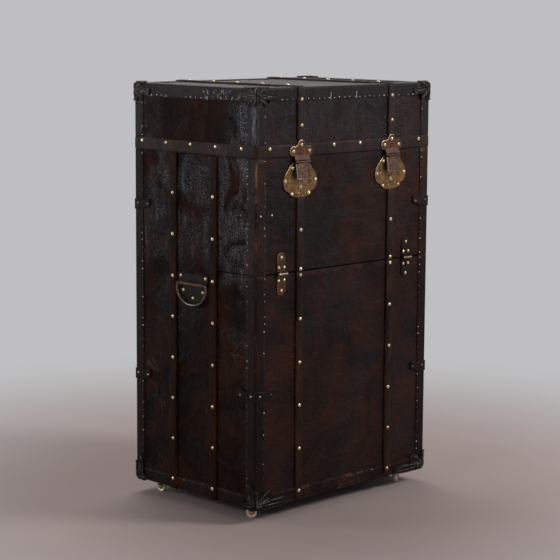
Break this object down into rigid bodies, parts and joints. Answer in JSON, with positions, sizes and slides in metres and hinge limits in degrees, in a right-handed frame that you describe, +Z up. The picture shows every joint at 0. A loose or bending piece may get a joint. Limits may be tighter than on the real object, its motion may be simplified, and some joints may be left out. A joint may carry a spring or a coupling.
{
  "type": "wardrobe trunk",
  "caption": "Upright wardrobe trunk on swivel casters, with a lid hinged at the back, a fall front with side cheeks, hasps, side handles and nailed slats.",
  "frame": {"origin": "on the floor, under the middle of the whole object's bounding box", "axes": "+X to the right seen from the front, +Y towards the back, +Z up"},
  "size_m": [0.694, 0.5064, 1.1451],
  "materials": {
    "leather": "black-brown leather cloth over board, worn, with reddish patches",
    "binding": "tacked leather edge binding, worn along the edges",
    "band": "brown leather band",
    "slat": "leather-covered slat",
    "iron": "black japanned iron, worn",
    "copper": "browned brass plate, rusty",
    "brass": "aged brass, mottled",
    "steel": "dull grey-brown steel",
    "wheel": "pale worn brass rim",
    "wood": "turned hardwood",
    "lining": "paper and cloth lining on board"
  },
  "bodies": {
    "carcass": {"bottom_panel": "lining", "back_panel": "leather", "left_side_panel": "leather", "right_side_panel": "leather", "lower_front_panel": "leather", "body_edge_binding": "binding", "left_strip_front": "slat", "left_strip_back": "slat", "right_strip_front": "slat", "right_strip_back": "slat", "back_strip_left": "slat", "back_strip_right": "slat", "lower_strip_left": "slat", "lower_strip_right": "slat", "drop_hinge_lower_left": "copper", "drop_hinge_lower_right": "copper", "lid_hinge_lower_left": "copper", "lid_hinge_lower_right": "copper", "handle_plate_left": "copper", "handle_plate_right": "copper", "bottom_corner_front_left": "iron", "bottom_corner_front_right": "iron", "bottom_corner_back_left": "iron", "bottom_corner_back_right": "iron", "garment_rail": "wood"},
    "lid": {"lid_top_panel": "leather", "lid_rim": "leather", "lid_edge_binding": "binding", "lid_band": "band", "lid_strip_left": "slat", "lid_strip_right": "slat", "hasp_plate_left": "copper", "hasp_plate_right": "copper", "lid_hinge_upper_left": "copper", "lid_hinge_upper_right": "copper", "top_corner_front_left": "iron", "top_corner_front_right": "iron", "top_corner_back_left": "iron", "top_corner_back_right": "iron"},
    "drop_front": {"drop_front_shell": "leather", "drop_binding_left": "binding", "drop_binding_right": "binding", "drop_strip_left": "slat", "drop_strip_right": "slat", "lock_plate_left": "brass", "lock_plate_right": "brass", "drop_hinge_upper_left": "copper", "drop_hinge_upper_right": "copper"},
    "hasp_left": {"hasp_flap_left": "steel"},
    "hasp_right": {"hasp_flap_right": "steel"},
    "bail_left": {"handle_bail_left": "iron"},
    "bail_right": {"handle_bail_right": "iron"},
    "fork_front_left": {"caster_fork_front_left": "iron"},
    "fork_front_right": {"caster_fork_front_right": "iron"},
    "fork_back_left": {"caster_fork_back_left": "iron"},
    "fork_back_right": {"caster_fork_back_right": "iron"},
    "wheel_front_left": {"caster_wheel_front_left": "wheel"},
    "wheel_front_right": {"caster_wheel_front_right": "wheel"},
    "wheel_back_left": {"caster_wheel_back_left": "wheel"},
    "wheel_back_right": {"caster_wheel_back_right": "wheel"}
  },
  "joints": [
    {"name": "lid_open", "type": "hinge", "parent": "carcass", "child": "lid", "pos_m": [0, 0.24924, 0.959], "axis": [-1, 0, 0], "range_deg": [0, 180]},
    {"name": "drop_front_open", "type": "hinge", "parent": "carcass", "child": "drop_front", "pos_m": [0, -0.24116, 0.656], "axis": [1, 0, 0], "range_deg": [0, 90]},
    {"name": "hasp_left_lift", "type": "hinge", "parent": "lid", "child": "hasp_left", "pos_m": [-0.1755, -0.24416, 0.945], "axis": [-1, 0, 0], "range_deg": [0, 150]},
    {"name": "hasp_right_lift", "type": "hinge", "parent": "lid", "child": "hasp_right", "pos_m": [0.1755, -0.24416, 0.945], "axis": [-1, 0, 0], "range_deg": [0, 150]},
    {"name": "bail_left_swing", "type": "hinge", "parent": "carcass", "child": "bail_left", "pos_m": [-0.342, 0.00354, 0.612], "axis": [0, 1, 0], "range_deg": [0, 100]},
    {"name": "bail_right_swing", "type": "hinge", "parent": "carcass", "child": "bail_right", "pos_m": [0.342, 0.00354, 0.612], "axis": [0, -1, 0], "range_deg": [0, 100]},
    {"name": "swivel_front_left", "type": "hinge", "parent": "carcass", "child": "fork_front_left", "pos_m": [-0.2795, -0.17896, 0.0387], "axis": [0, 0, 1], "continuous": true},
    {"name": "swivel_front_right", "type": "hinge", "parent": "carcass", "child": "fork_front_right", "pos_m": [0.2795, -0.17896, 0.0387], "axis": [0, 0, 1], "continuous": true},
    {"name": "swivel_back_left", "type": "hinge", "parent": "carcass", "child": "fork_back_left", "pos_m": [-0.2795, 0.18604, 0.0387], "axis": [0, 0, 1], "continuous": true},
    {"name": "swivel_back_right", "type": "hinge", "parent": "carcass", "child": "fork_back_right", "pos_m": [0.2795, 0.18604, 0.0387], "axis": [0, 0, 1], "continuous": true},
    {"name": "roll_front_left", "type": "hinge", "parent": "fork_front_left", "child": "wheel_front_left", "pos_m": [-0.28622, -0.17224, 0.014], "axis": [-0.7071, -0.7071, 0], "continuous": true},
    {"name": "roll_front_right", "type": "hinge", "parent": "fork_front_right", "child": "wheel_front_right", "pos_m": [0.27278, -0.18568, 0.014], "axis": [0.7071, -0.7071, 0], "continuous": true},
    {"name": "roll_back_left", "type": "hinge", "parent": "fork_back_left", "child": "wheel_back_left", "pos_m": [-0.28115, 0.1954, 0.014], "axis": [-0.9848, -0.1736, 0], "continuous": true},
    {"name": "roll_back_right", "type": "hinge", "parent": "fork_back_right", "child": "wheel_back_right", "pos_m": [0.28425, 0.19427, 0.014], "axis": [-0.866, 0.5, 0], "continuous": true}
  ],
  "couplings": [
    {"joint": "drop_front_open", "follows": "lid_open", "ratio": 0.5}
  ]
}
